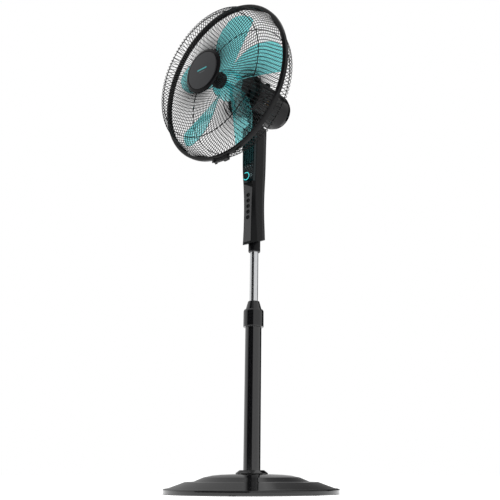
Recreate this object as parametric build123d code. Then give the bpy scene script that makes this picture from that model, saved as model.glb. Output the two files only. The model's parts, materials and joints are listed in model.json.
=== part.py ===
from build123d import *
import math
import os

os.makedirs("parts", exist_ok=True)

# Pedestal fan, millimetres.  +Z up, floor at z = 0, pole axis at x = y = 0, the fan blows towards -Y.

# ---- driving dimensions ----
BASE_R = 207.5            # base disc radius
POLE_R, POLE_T = 20.3, 1.2   # fixed outer pole
POLE_BOTTOM, POLE_TOP = 14.0, 424.0
TUBE_R, TUBE_T = 10.6, 1.0   # sliding chrome tube
TUBE_BOTTOM, TUBE_TOP = 250.0, 640.0
NUT_R, NUT_Z0, NUT_Z1 = 25.5, 397.0, 463.5
SOCK_R, SOCK_Z0 = 15.5, 596.0
BOX_Z0, BOX_Z1 = 606.0, 950.0   # control column
TILT_Z = 962.0            # tilt pin height
AXIS_Z = 1039.0           # fan shaft height
GUARD_R = 220.0           # guard band outer radius
WIRES = 120               # radial wires in each guard
WIRE_R = 0.9
RING_R = 1.2
BLADES = 5
BLADE_R = 200.0
BLADE_PHASE = 78.1        # direction of the first blade, degrees from +X seen from the front
BTN_Z = (748.5, 732.8, 717.1, 701.4, 685.7)
BTN_R = 5.4
CRANK_X, CRANK_Y, CRANK_R = 14.0, 34.0, 10.4
ARM_X = 14.0              # fixed drive pin of the neck, from the pan axis
EYE_X = 15.0              # centre of the link's open eye at rest
RUN = 0.05                # running clearance of shafts and pins
GAP = 0.4                 # free clearance


def profile(pts):
    """closed face from (a, b) or (a, b, corner radius) points"""
    n = len(pts)
    segs = []
    for i in range(n):
        p0, p1, p2 = pts[i - 1], pts[i], pts[(i + 1) % n]
        rad = p1[2] if len(p1) > 2 else 0
        if rad:
            ax, ay = p0[0] - p1[0], p0[1] - p1[1]
            bx, by = p2[0] - p1[0], p2[1] - p1[1]
            la, lb = math.hypot(ax, ay), math.hypot(bx, by)
            ax, ay, bx, by = ax / la, ay / la, bx / lb, by / lb
            ang = math.acos(max(-1, min(1, ax * bx + ay * by)))
            t = rad / math.tan(ang / 2)
            s = (p1[0] + ax * t, p1[1] + ay * t)
            e = (p1[0] + bx * t, p1[1] + by * t)
            mx, my = ax + bx, ay + by
            lm = math.hypot(mx, my)
            d = rad / math.sin(ang / 2) - rad
            m = (p1[0] + mx / lm * d, p1[1] + my / lm * d)
            segs.append((s, m, e))
        else:
            segs.append(((p1[0], p1[1]),))
    edges = []
    for i in range(n):
        s = segs[i]
        if len(s) == 3:
            edges.append(ThreePointArc(*s))
        a, b = s[-1], segs[(i + 1) % n][0]
        if math.hypot(a[0] - b[0], a[1] - b[1]) > 1e-6:
            edges.append(Line(a, b))
    return make_face(edges)


def rev(pts):
    """solid of revolution about Z from (radius, z[, corner radius]) points"""
    return revolve(Plane.XZ * profile(pts), Axis.Z)


def cyl(r, z0, z1, x=0, y=0):
    return Pos(x, y, (z0 + z1) / 2) * Cylinder(r, z1 - z0)


def box(x0, x1, y0, y1, z0, z1):
    return Pos((x0 + x1) / 2, (y0 + y1) / 2, (z0 + z1) / 2) * Box(x1 - x0, y1 - y0, z1 - z0)


def tube(ro, ri, z0, z1, x=0, y=0):
    return cyl(ro, z0, z1, x, y) - cyl(ri, z0 - 1, z1 + 1, x, y)


def head(s):
    """from the head's own frame (z = forward along the shaft) to the fan's frame"""
    return Pos(0, 0, AXIS_Z) * Rot(90, 0, 0) * s


def turned(s, a):
    return Rot(0, 0, a) * s


def group(items):
    out = []
    for s in items:
        out.extend(s.solids())
    return Compound(children=out)


def save(name, shape):
    export_step(shape, "parts/" + name + ".step")


# ================= base =================
outer = [(BASE_R, 1.5), (BASE_R, 9.5, 2.0), (203.0, 12.4, 1.5), (197.0, 12.8, 1.5), (157.4, 26.9, 5.0),
         (137.0, 27.8, 6.0), (113.5, 37.3, 14.0), (93.0, 41.3, 20.0), (72.6, 43.2, 30.0), (39.5, 44.4), (20.6, 44.6)]
inner = [(20.6, 41.4), (39.0, 41.2), (72.0, 40.0, 30.0), (92.0, 38.2, 20.0), (112.0, 34.4, 12.0), (136.0, 24.8, 5.0),
         (156.6, 23.9, 5.0), (196.0, 9.9, 1.5), (202.0, 9.2, 1.0), (204.5, 8.0), (204.5, 1.5)]
cover = rev(outer + inner)
for k in range(4):
    a = math.radians(45 + 90 * k)
    x, y = 100 * math.cos(a), 100 * math.sin(a)
    cover += cyl(7, 14.4, 36.5, x, y)
    cover -= cyl(2.2, 10, 32, x, y)
for k in range(6):
    a = math.radians(60 * k)
    x, y = 190 * math.cos(a), 190 * math.sin(a)
    cover += cyl(9, 3.5, 12.5, x, y)
    cover -= cyl(5.05, 2, 8.0, x, y)
save("base_cover", cover)

weight = tube(150, 4.3, 8, 14)
for k in range(4):
    a = math.radians(45 + 90 * k)
    weight -= cyl(2.7, 7, 15, 100 * math.cos(a), 100 * math.sin(a))
save("base_weight", weight)
screw = cyl(2.15, 7.9, 30) + rev([(0, 5.2), (4.0, 5.2), (5.2, 6.4), (5.2, 7.9), (0, 7.9)])
save("base_screws", group([Pos(100 * math.cos(math.radians(45 + 90 * k)), 100 * math.sin(math.radians(45 + 90 * k)), 0) * screw
                           for k in range(4)]))
foot = rev([(0, 0), (7.4, 0, 0.8), (8.0, 3.45), (5.0, 3.45), (5.0, 7.9), (0, 7.9)])
save("rubber_feet", group([Pos(190 * math.cos(math.radians(60 * k)), 190 * math.sin(math.radians(60 * k)), 0) * foot
                           for k in range(6)]))
save("pole_flange", rev([(POLE_R + RUN, 44.65), (39.0, 44.65), (38.7, 46.2, 0.8), (29.4, 53.4, 1.0), (POLE_R + RUN, 53.4)]))
# the pole, with the threaded plug welded in its foot
save("outer_pole", tube(POLE_R, POLE_R - POLE_T, POLE_BOTTOM, POLE_TOP) + tube(POLE_R - 0.5, 4.1, POLE_BOTTOM, 32))
bolt = cyl(4.05, 7.0, 30) + (Pos(0, 0, 4.0) * extrude(RegularPolygon(6.5, 6), 2.9)) + tube(9.0, 4.0, 6.9, 7.95)
save("pole_bolt", bolt)
sleeve = rev([(TUBE_R + 0.35, 380), (POLE_R - POLE_T - RUN, 380), (POLE_R - POLE_T - RUN, 424.05), (POLE_R, 424.05),
              (POLE_R, 427), (17.9, 427.4), (17.9, 445.5), (TUBE_R + 0.35, 445.5)])
save("pole_sleeve", sleeve)
ring = rev([(TUBE_R + RUN, 446), (16.0, 446), (16.0, 449.6), (12.0, 458.3), (TUBE_R + RUN, 458.3)])
ring -= box(0, 20, -0.8, 0.8, 440, 470)
save("collet", ring)

# ================= height lock nut =================
nut = rev([(POLE_R + GAP, NUT_Z0), (24.9, NUT_Z0, 0.5), (NUT_R, NUT_Z0 + 1.6), (NUT_R, 437.5, 1.2), (23.6, 441.2, 0.4), (20.5, 441.6, 0.3),
           (14.4, NUT_Z1, 0.8), (TUBE_R + 0.45, NUT_Z1), (TUBE_R + 0.45, 461.5), (16.6, 449.5), (16.6, 446.0), (18.35, 446.0),
           (18.35, 428.2), (POLE_R + GAP, 428.2)])
for k in range(24):
    nut -= turned(cyl(0.7, NUT_Z0 + 5, 433, NUT_R + 0.35, 0), 15 * k)
save("lock_nut", nut)

# ================= sliding column =================
save("inner_pole", tube(TUBE_R, TUBE_R - TUBE_T, TUBE_BOTTOM, TUBE_TOP))
save("pole_stop", tube(POLE_R - POLE_T - 0.35, TUBE_R + RUN, 247, 263) + tube(TUBE_R, TUBE_R - TUBE_T - 1.5, 246, TUBE_BOTTOM - 0.05)
     + tube(POLE_R - POLE_T - 0.35, TUBE_R - TUBE_T - 1.5, 246, 248))

# section of the control column: height, half width, front depth, rear depth, half width of the front flat, depth of the shoulder
SEC = [(606, 25.0, 30.0, 23.8, 14.5, 17.5), (640, 23.6, 28.6, 24.0, 13.6, 17.2), (684, 21.8, 27.3, 23.6, 12.9, 19.0), (729, 21.0, 26.9, 23.4, 13.2, 20.3),
       (790, 22.5, 28.4, 24.2, 17.2, 22.0), (860, 24.8, 29.0, 24.6, 20.5, 21.2), (912, 25.8, 29.2, 24.8, 21.5, 20.4), (955, 26.0, 29.2, 24.9, 21.8, 20.0)]
REAR_CORNER = 15.0


def section(z, off):
    _, a, yf, yr, w, ys = next(s for s in SEC if s[0] == z)
    a, yf, yr, w, ys = a - off, yf - off, yr - off, w - 0.45 * off, ys - 0.35 * off
    rc = REAR_CORNER - off
    return Pos(0, 0, z) * profile([(-w, -yf, 1.6), (w, -yf, 1.6), (a, -ys, 3.4), (a, yr, rc), (-a, yr, rc), (-a, -ys, 3.4)])


def front_y(z):
    """front depth of the column at height z"""
    for s, t in zip(SEC, SEC[1:]):
        if s[0] <= z <= t[0]:
            u = (z - s[0]) / (t[0] - s[0])
            return s[2] + (t[2] - s[2]) * u


WALL = 2.4
solid_out = loft([section(s[0], 0) for s in SEC])
solid_in = loft([section(s[0], WALL) for s in SEC])
solid_mid = loft([section(s[0], 1.3) for s in SEC])
below = extrude(Plane.YZ * make_face(Polyline((-80, 560), (80, 560), (80, 653.1), (-80, 592.1), close=True)), 60, both=True)
above = box(-60, 60, -60, 60, BOX_Z1, 1000)
bottom_slab = extrude(Plane.YZ * make_face(Polyline((-80, 592.1), (80, 653.1), (80, 656.1), (-80, 595.1), close=True)), 60, both=True)
shell = solid_out - solid_in + (solid_out & bottom_slab) - below - above
shell -= cyl(SOCK_R + RUN, 580, 660)
WIN = (785.6, 944.0)      # display window, over the whole front and round its shoulders
WIN_Y = -23.4


def panel_outline(e):
    """the lower panel's outline on the front flat, larger all round by e"""
    half = [(618.0 - e, 13.2), (640, 12.7), (684, 12.0), (729, 12.3), (784.4 + e, 15.9)]
    pts = [(x + e, z) for z, x in half] + [(-x - e, z) for z, x in half[::-1]]
    return extrude(Plane.XZ * make_face(Polyline(*pts, close=True)), 70) & box(-40, 40, -60, -18, 560, 1000)


win_zone = box(-40, 40, -60, WIN_Y, *WIN)
panel_zone = panel_outline(0)
pocket = solid_out - solid_mid
window = pocket & win_zone
panel = pocket & panel_zone
shell -= pocket & box(-40, 40, -60, WIN_Y + 0.05, WIN[0] - 0.05, WIN[1] + 0.05)
shell -= pocket & panel_outline(0.05)
SPLIT_Y = 5.0
front_shell = shell & box(-60, 60, -60, SPLIT_Y, 560, 1000)
rear_shell = shell & box(-60, 60, SPLIT_Y, 60, 560, 1000)
for z in BTN_Z:
    hole = Pos(0, -25, z) * Rot(90, 0, 0) * Cylinder(BTN_R + 0.45, 40)
    front_shell -= hole & box(-10, 10, -45, -10, z - 10, z + 10)
    panel -= hole
# screw bosses: the rear shell is screwed to the front one from behind
BOSSES = [(-15.0, 668), (15.0, 668), (-16.5, 905), (16.5, 905)]
for x, z in BOSSES:
    b = Pos(x, (SPLIT_Y - 9) / 2 , z) * Rot(90, 0, 0) * Cylinder(3.4, SPLIT_Y + 9)
    b2 = Pos(x, 14, z) * Rot(90, 0, 0) * Cylinder(3.4, 18)
    h = Pos(x, 5, z) * Rot(90, 0, 0) * Cylinder(1.45, 24)
    h2 = Pos(x, 30, z) * Rot(90, 0, 0) * Cylinder(3.1, 30)
    side = box(min(x, x * 1.9), max(x, x * 1.9), -3, SPLIT_Y, z - 1, z + 1) & solid_out
    front_shell += (b + side) & solid_out & box(-60, 60, -60, SPLIT_Y, 560, 1000)
    rear_shell += b2 & solid_out & box(-60, 60, SPLIT_Y, 60, 560, 1000)
    front_shell -= h
    rear_shell = rear_shell - h - h2
# cord gland opening low in the back
GLAND_Z = 664.0
rear_shell -= Pos(0, 30, GLAND_Z) * Rot(90, 0, 0) * Cylinder(6.05, 50) & box(-10, 10, 12, 60, GLAND_Z - 10, GLAND_Z + 10)
save("column_front_shell", front_shell)
save("column_rear_shell", rear_shell)
save("display_window", window)
save("lower_panel", panel)
cs = (Pos(0, 5.8, 0) * Rot(90, 0, 0) * Cylinder(1.4, 18.8)) + (Pos(0, 16.3, 0) * Rot(90, 0, 0) * Cylinder(2.8, 2.3))
save("column_screws", group([Pos(x, 0, z) * cs for x, z in BOSSES]))
gl = Rot(-90, 0, 0) * rev([(3.6, -4.5), (7.6, -4.5), (7.6, -3.0), (6.0, -3.0), (6.0, 2.2), (8.2, 2.2), (8.2, 3.2), (5.4, 8.0, 0.8), (3.6, 8.0)])
save("cord_gland", Pos(0, 22.6, GLAND_Z) * gl)
socket = rev([(TUBE_R + RUN, SOCK_Z0), (14.9, SOCK_Z0, 0.6), (SOCK_R, SOCK_Z0 + 2), (SOCK_R, 652), (TUBE_R - 2, 652), (TUBE_R - 2, 640.1),
              (TUBE_R + RUN, 640.1)])
socket += box(-22.5, 22.5, 6, 10, 640, 652) & solid_in
socket -= cyl(TUBE_R + RUN, 590, 640.1) + cyl(TUBE_R - 2, 630, 660)
save("column_socket", socket)

# control electronics
BOARD_Y = -10.0
save("control_board", box(-13, 13, BOARD_Y, BOARD_Y + 1.6, 673, 778))
sw = []
for z in BTN_Z:
    yb = BOARD_Y - 0.05
    sw.append(box(-3, 3, yb - 1.6, yb, z - 3, z + 3))
save("tact_switches", group(sw))
save("display_module", box(-13, 13, -20.5, -15.0, 800, 900))
save("capacitor", box(-9, 9, 6, 21, 792, 824))
for i, z in enumerate(BTN_Z):
    yf = front_y(z)
    cap = Pos(0, 0, z) * Rot(90, 0, 0) * rev([(0, yf - 4.3), (6.9, yf - 4.3), (6.9, yf - 3.5), (BTN_R, yf - 3.5), (BTN_R, yf + 1.2, 0.7), (0, yf + 1.2)])
    stem_end = -BOARD_Y + 1.65 + 2.2
    cap += Pos(0, 0, z) * Rot(90, 0, 0) * cyl(2.0, stem_end, yf - 4.2)
    save("button_%d" % (i + 1), cap)

# tilt fork in the column's top
fork = loft([section(s[0], WALL + 0.3) for s in SEC]) & box(-60, 60, -60, 60, 937, 943)
for sx in (-1, 1):
    x0, x1 = sorted((sx * 12.4, sx * 18.4))
    fork += box(x0, x1, -13, 13, 940, TILT_Z)
    fork += Pos((x0 + x1) / 2, 0, TILT_Z) * Rot(0, 90, 0) * Cylinder(13, 6)
fork -= Pos(0, 0, TILT_Z) * Rot(0, 90, 0) * Cylinder(4.0 + RUN, 60)
save("tilt_fork", fork)
pin = Pos(0, 0, TILT_Z) * Rot(0, 90, 0) * Cylinder(4.0, 40)
pin += Pos(-20.3, 0, TILT_Z) * Rot(0, 90, 0) * Cylinder(6.5, 3.4)
pin += Pos(20.7, 0, TILT_Z) * Rot(0, 90, 0) * extrude(RegularPolygon(7, 6), 2.1, both=True)
save("tilt_pin", pin)

# ================= neck =================
neck = Pos(0, 0, TILT_Z) * Rot(0, 90, 0) * Cylinder(12.5, 24)
neck += box(-11, 11, -11, 11, TILT_Z, 979)
neck += rev([(0, 976.5), (19, 976.5), (24, 978.8), (24, 983.6, 0.8), (0, 983.6)])
neck += cyl(6.0, 980, 1011.5)
neck -= Pos(0, 0, TILT_Z) * Rot(0, 90, 0) * Cylinder(4.0 + RUN, 60)
neck -= cyl(2.0, 995, 1015)
neck += cyl(1.95, 980, 999.6, ARM_X, 0)
save("neck_block", neck)
save("swivel_screw", cyl(1.95, 996, 1012) + rev([(0, 1011.55), (8.2, 1011.55), (8.2, 1012.8), (4, 1012.8), (4, 1015), (0, 1015)]))

# ================= head: motor =================
# in the head's frame z is forward; its floor-up direction is +y
def hcyl(r, f0, f1, x=0, y=0):
    return cyl(r, f0, f1, x, y)


HOUSE_R0, HOUSE_R1 = 55.0, 52.4      # barrel radius, front and rear
SEAM = -44.0
plate = rev([(8.5, 43.0), (57.0, 43.0), (57.0, 39.5), (60.5, 39.5, 1.0), (60.5, 50.0, 1.8), (11.6, 50.0), (11.6, 61.5, 0.8), (8.5, 61.5)])
plate -= rev([(0, 42), (4.5, 42), (4.5, 70), (0, 70)])
for k in range(4):
    a = math.radians(45 + 90 * k)
    plate -= cyl(1.65, 30, 48, 43.5 * math.cos(a), 43.5 * math.sin(a))
save("motor_front_cover", head(plate))
barrel = rev([(52.4, 39.4), (56.8, 39.4), (HOUSE_R0, 36.0), (HOUSE_R1 + 0.5, SEAM + 0.4), (HOUSE_R1 - 1.9, SEAM + 0.4)])
slots = []
for k in range(40):
    a = 9 * k + 4.5
    if 225 < a < 315:
        continue
    slots.append(turned(Pos(54, 0, 0) * Box(10, 2.4, 52), a))
for s in slots:
    barrel -= s
pan_hole = Pos(0, -45, 0) * Rot(90, 0, 0) * Cylinder(19, 40)
barrel -= pan_hole & box(-60, 60, -70, -20, -30, 30)
barrel -= Pos(CRANK_X, 55, -CRANK_Y) * Rot(90, 0, 0) * Cylinder(3.4, 30)
save("motor_housing", head(barrel))
cap = rev([(HOUSE_R1 - 1.9, SEAM), (HOUSE_R1, SEAM), (50.6, -84.0, 14.0), (42.0, -104.0, 16.0), (0, -109.0),
           (0, -106.4), (40.5, -101.6, 13.0), (48.2, -83.0, 12.0), (HOUSE_R1 - 3.6, SEAM - 0.0)])
for k in range(-3, 4):
    cap -= Pos(0, 9.0 * k, -112) * Box(2 * math.sqrt(34 ** 2 - (9.0 * k) ** 2), 2.6, 20)
save("motor_rear_cap", head(cap))

# stator with four ears for the long screws
stator = tube(40, 12.3, 18, 40)
for k in range(4):
    a = math.radians(45 + 90 * k)
    stator += cyl(5.2, 18, 40, 41.5 * math.cos(a), 41.5 * math.sin(a))
for k in range(12):
    stator -= turned(Pos(24, 0, 29) * Box(16, 4.2, 30), 30 * k)
for k in range(4):
    a = math.radians(45 + 90 * k)
    stator -= cyl(1.65, 10, 50, 43.5 * math.cos(a), 43.5 * math.sin(a))
save("stator_core", head(stator))
coil = []
for k in range(6):
    sector = extrude(make_face(Polyline((0, 0), (60, -60 * math.tan(math.radians(19.0))), (60, 60 * math.tan(math.radians(19.0))), close=True)), 60, both=True)
    top = tube(29.5, 18.5, 40.35, 42.6) & turned(sector, 60 * k + 15)
    bot = tube(29.5, 18.5, 14.0, 17.65) & turned(sector, 60 * k + 15)
    bars = turned(Pos(24, 0, 28.5) * Box(10.6, 3.4, 25), 60 * k) + turned(Pos(24, 0, 28.5) * Box(10.6, 3.4, 25), 60 * k + 30)
    coil.append(top + bot + bars)
save("windings", head(group(coil)))
save("motor_screws", head(group([Pos(43.5 * math.cos(math.radians(45 + 90 * k)), 43.5 * math.sin(math.radians(45 + 90 * k)), 0)
                                 * (cyl(1.6, 7.2, 47.5) + cyl(3.2, 4.6, 6.95) + cyl(1.6, 6.9, 7.3)) for k in range(4)])))
save("bearings", head(group([tube(8.45, 4.05, 43.2, 56.0), tube(7.95, 4.05, 4.0, 12.5), tube(5.95, 4.05, -52.0, -46.2)])))

# gearbox casting, in the fan's own axes
case = head(tube(48.0, 8.0, 7.0, 10.0)) & box(-60, 60, -20, 0, 1001, 1100)
case += head(tube(11.0, 8.0, 3.8, 10.0))
case += box(-20, 27, -9, 53, 1004.5, 1007.5)
case += cyl(10, 1000.6, 1009.5)
case += tube(6.2, 3.05, 1005, 1024, CRANK_X, CRANK_Y)
case += box(-7, 7, 46.5, 52, 1006, AXIS_Z) + (Pos(0, 49.25, AXIS_Z) * Rot(90, 0, 0) * Cylinder(9, 5.5))
case -= cyl(6.0 + RUN, 990, 1011)
case -= cyl(9.2, 1009.5, 1018)
case -= cyl(3.0 + RUN, 990, 1030, CRANK_X, CRANK_Y)
case -= Pos(0, 49, AXIS_Z) * Rot(90, 0, 0) * Cylinder(6.0, 12)
for k in range(4):
    a = math.radians(45 + 90 * k)
    case -= head(cyl(1.65, 0, 20, 43.5 * math.cos(a), 43.5 * math.sin(a)))
save("gearbox_case", case)

# oscillation drive
crank = cyl(3.0, 1000.0, 1056, CRANK_X, CRANK_Y) + cyl(13.2, 1000.0, 1003.2, CRANK_X, CRANK_Y)
crank += cyl(2.0, 996.1, 1001, CRANK_X + CRANK_R, CRANK_Y)
save("crank_spindle", crank)
PX, PY = CRANK_X + CRANK_R, CRANK_Y
dx, dy = EYE_X - PX, 0 - PY
L = math.hypot(dx, dy)
bar = Pos((PX + EYE_X) / 2, PY / 2, 998.3) * Rot(0, 0, math.degrees(math.atan2(dy, dx))) * Box(L, 5.0, 2.6)
link = bar + cyl(3.6, 997.0, 999.6, PX, PY) + cyl(5.8, 997.0, 999.6, EYE_X, 0)
link -= cyl(2.0 + RUN, 990, 1004, PX, PY)
link -= cyl(3.7, 990, 1004, EYE_X, 0)
save("link_rod", link)
teeth = []
N_TEETH = 24
for k in range(N_TEETH):
    a0 = 360 / N_TEETH * k
    for da, r in ((-4.6, 7.5), (-2.1, 8.6), (2.1, 8.6), (4.6, 7.5)):
        a = math.radians(a0 + da)
        teeth.append((CRANK_X + r * math.cos(a), CRANK_Y + r * math.sin(a)))
wheel = Pos(0, 0, 1035.5) * extrude(make_face(Polyline(*teeth, close=True)), 7.0)
wheel += cyl(5.5, 1031, 1047, CRANK_X, CRANK_Y)
wheel -= cyl(3.0 + RUN, 1020, 1060, CRANK_X, CRANK_Y)
save("worm_wheel", wheel)
ktop = AXIS_Z + 65.0
knob = cyl(2.8, 1057.0, 1097, CRANK_X, CRANK_Y)
knob += Pos(CRANK_X, CRANK_Y, 0) * rev([(0, 1093.2), (6.8, 1093.2, 0.4), (7.4, 1096), (7.4, ktop - 1.2), (6.4, ktop, 0.4), (0, ktop)])
for k in range(12):
    a = math.radians(30 * k)
    knob -= cyl(0.7, 1095, ktop - 2.2, CRANK_X + 7.6 * math.cos(a), CRANK_Y + 7.6 * math.sin(a))
save("oscillation_knob", knob)

# ================= guards =================
def bend(a, v, d, rad):
    """wire path a - v - d with a rounded corner, in the radial plane"""
    ax, ay = a[0] - v[0], a[1] - v[1]
    bx, by = d[0] - v[0], d[1] - v[1]
    la, lb = math.hypot(ax, ay), math.hypot(bx, by)
    ax, ay, bx, by = ax / la, ay / la, bx / lb, by / lb
    ang = math.acos(ax * bx + ay * by)
    t = rad / math.tan(ang / 2)
    s = (v[0] + ax * t, v[1] + ay * t)
    e = (v[0] + bx * t, v[1] + by * t)
    mx, my = ax + bx, ay + by
    lm = math.hypot(mx, my)
    dd = rad / math.sin(ang / 2) - rad
    m = (v[0] + mx / lm * dd, v[1] + my / lm * dd)
    c = (v[0] + mx / lm * (dd + rad), v[1] + my / lm * (dd + rad))
    return s, m, e, c


def wire_solids(a, v, d, rad):
    """one guard wire: the straight spoke over the face, and the bent end over the rim"""
    s, m, e, _ = bend(a, v, d, rad)
    p = lambda q: (q[0], 0, q[1])
    z_dir = Vector(s[0] - a[0], 0, s[1] - a[1])
    spoke = extrude(Plane(origin=p(a), z_dir=z_dir) * Circle(WIRE_R), z_dir.length)
    tail = Wire([Edge.make_three_point_arc(p(s), p(m), p(e)), Edge.make_line(p(e), p(d))])
    return [spoke.solids()[0], sweep(Plane(origin=p(s), z_dir=z_dir) * Circle(WIRE_R), path=tail).solids()[0]]


def ring_arcs(rr, f, r, n):
    """a wire ring made of n welded arcs"""
    arc = revolve(Pos(rr, 0, f) * (Plane.XZ * Circle(r)), Axis.Z, 360 / n).solids()[0]
    return [turned(arc, 360 / n * k) for k in range(n)]


F_A, F_V, F_D, F_B = (50.0, 200.9), (188.0, 188.4), (209.5, 131.6), 28.0
R_A, R_V, R_D, R_B = (44.0, 51.2), (192.0, 67.6), (209.5, 129.4), 28.0


def around(solids):
    return [turned(w, 360 / WIRES * (k + 0.5)) for w in solids for k in range(WIRES)]


save("front_guard", head(group(around(wire_solids(F_A, F_V, F_D, F_B)) + ring_arcs(175.0, 186.6, RING_R, 8) + ring_arcs(212.5, 133.7, 1.7, 12))))
save("rear_guard", head(group(around(wire_solids(R_A, R_V, R_D, R_B)) + ring_arcs(180.0, 70.9, RING_R, 8) + ring_arcs(212.5, 127.3, 1.7, 12)
                              + ring_arcs(70.0, 57.0, RING_R, 6))))
band = rev([(210.8, 123.5), (216.0, 123.5), (GUARD_R, 126.0, 1.5), (GUARD_R, 135.0, 1.5), (216.0, 137.5), (210.8, 137.5), (210.8, 135.8),
            (214.6, 135.8), (214.6, 125.2), (210.8, 125.2)])
# lugs for the clip at the bottom
for f in ((124.0, 126.2), (134.8, 137.0)):
    band += box(-27, -19, -229, -217.5, f[0], f[1])
band += Pos(-23, -225.0, 130.5) * Cylinder(1.5, 12.0)
save("guard_band", head(band))
# clip lever under the band
lev = (tube(228.6, 221.0, 126.6, 134.4) & box(-19.5, 26, -240, -200, 120, 140))
lev += Pos(-23, -225.0, 130.5) * Cylinder(3.4, 7.8)
lev += box(-23, -18, -227.6, -222.2, 126.6, 134.4)
lev += (tube(231.5, 221.0, 124.6, 136.4) & box(8, 25, -240, -200, 120, 140))
lev -= Pos(-23, -225.0, 130.5) * Cylinder(1.5 + RUN, 20)
save("guard_clip", head(lev))

save("rear_guard_plate", head(rev([(13.0, 50.05), (20.0, 50.05), (22.0, 53.2), (50.0, 53.2), (50.0, 54.6, 0.5), (13.0, 54.6)])))
gn = rev([(11.65, 54.7), (26.0, 54.7, 0.6), (26.0, 61.0, 1.2), (11.65, 61.0)])
for k in range(12):
    gn -= turned(cyl(2.0, 50, 70, 27.2, 0), 30 * k)
save("guard_nut", head(gn))

# badge in the middle of the front guard
save("badge", head(rev([(0, 207.0), (50.5, 207.0), (51.2, 208.4, 0.4), (49.8, 209.6, 0.6), (0, 210.1)])))
back = rev([(0, 202.2), (60.4, 202.2, 0.4), (61.0, 203.4), (60.2, 206.4, 1.2), (53.0, 208.6, 0.8), (51.6, 206.9), (0, 206.9)])
back -= group([cyl(1.45, 200, 205.5, 38 * math.cos(math.radians(90 + 120 * k)), 38 * math.sin(math.radians(90 + 120 * k))) for k in range(3)])
save("badge_backing", head(back))
bp = rev([(0, 197.0), (54.0, 197.0, 0.6), (56.0, 199.1), (0, 199.1)]) + group(
    [cyl(4, 199.0, 202.15, 38 * math.cos(math.radians(90 + 120 * k)), 38 * math.sin(math.radians(90 + 120 * k))) for k in range(3)])
for k in range(3):
    bp -= cyl(1.45, 190, 210, 38 * math.cos(math.radians(90 + 120 * k)), 38 * math.sin(math.radians(90 + 120 * k)))
save("badge_plate", head(bp))
save("badge_screws", head(group([Pos(38 * math.cos(math.radians(90 + 120 * k)), 38 * math.sin(math.radians(90 + 120 * k)), 0)
                                 * (cyl(1.4, 196.6, 205.0) + cyl(2.8, 195.2, 196.95)) for k in range(3)])))

# ================= rotor =================
save("shaft", head(cyl(4.0, -53.0, 152.0) - Pos(0, 0, 101.0) * Rot(0, 90, 0) * Cylinder(1.55, 20)))
core = tube(11.9, 4.0 + RUN, 18, 40)
save("rotor_core", head(core))
worm = cyl(5.0, -42.0, -26.0)
for k in range(7):
    worm -= tube(6.0, 4.4, -41.0 + 2.2 * k, -39.9 + 2.2 * k)
worm -= cyl(4.0 + RUN, -60, 0)
save("worm", head(worm))

# blades: a pitched sheet cut to a petal outline
PL0, PL1, PL2 = 9.44, 10.29, -4.09
PT0, PT1, PT2 = 33.2, -5.42, -22.9
ROOT_R = 30.0
MID_F = 119.8


def pitch(r):
    return math.tan(0.272) * (0.35 + 0.65 * 130 / max(r, 50))


def sheet_f(x, y):
    r = math.hypot(x, y)
    a = math.atan2(y, x)
    a = max(-1.1, min(1.1, a))
    return MID_F + max(r, 42) * a * pitch(r)


def edge_pt(u, sgn):
    r0 = 45.0
    r = r0 + (BLADE_R - r0) * u
    rnd = math.sqrt(max(0.0, 1 - (max(0.0, u - 0.9) / 0.1) ** 2.5))
    if sgn < 0:
        a = -(PL0 + PL1 * u + PL2 * u * u) * rnd
    else:
        a = (PT0 + PT1 * u + PT2 * u * u) * rnd
    a = math.radians(a)
    return (r * math.cos(a), r * math.sin(a))


us = [0.0, 0.12, 0.25, 0.4, 0.55, 0.7, 0.82, 0.9, 0.95, 0.98, 1.0]
low = [edge_pt(u, -1) for u in us]
high = [edge_pt(u, 1) for u in us[:-1]]
rim = low + high[::-1]
out_edge = Spline(*[(p[0], p[1]) for p in rim])
root_a, root_b = rim[0], rim[-1]
petal = make_face([out_edge, Line(root_b, (26, 14)), Line((26, 14), (26, -5)), Line((26, -5), root_a)])
grid = []
for i in range(12):
    row = []
    for j in range(12):
        x = 20 + (205 - 20) * i / 11
        y = -75 + (150) * j / 11
        row.append(Vector(x, y, sheet_f(x, y) - 1.0))
    grid.append(row)
sheet_face = Face.make_surface_from_array_of_points(grid)
sheet = extrude(sheet_face, amount=2.0, dir=(0, 0, 1))
prism = Pos(0, 0, 60) * extrude(petal, 120)
blade = sheet & prism
hub = rev([(4.05, 100.0), (9.0, 100.0), (9.0, 134.4), (36.0, 131.5, 3.0), (40.0, 102.0), (42.4, 102.0), (38.6, 134.4, 4.5), (12.0, 137.6), (4.05, 137.6)])
fan = hub
for k in range(BLADES):
    b = turned(blade, BLADE_PHASE - 72 * k) - cyl(38.5, 60, 200)
    fan += b
fan -= box(-12, 12, -1.6, 1.6, 98.0, 102.6)
save("fan_blades", head(fan))
save("blade_pin", head(Pos(0, 0, 101.0) * Rot(0, 90, 0) * Cylinder(1.5, 20)))
spin = rev([(0, 153.6), (4.05, 153.6), (4.05, 138.0), (12, 138.0), (21.5, 138.0, 0.8), (22.6, 141.0), (21.8, 151.6, 1.6), (12.0, 155.6, 2.0), (0, 156.4)])
for k in range(18):
    spin -= turned(cyl(1.3, 136, 152.4, 23.3, 0), 20 * k)
save("spinner_nut", head(spin))
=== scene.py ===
import bpy, math, json
from mathutils import Vector, Matrix


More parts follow.
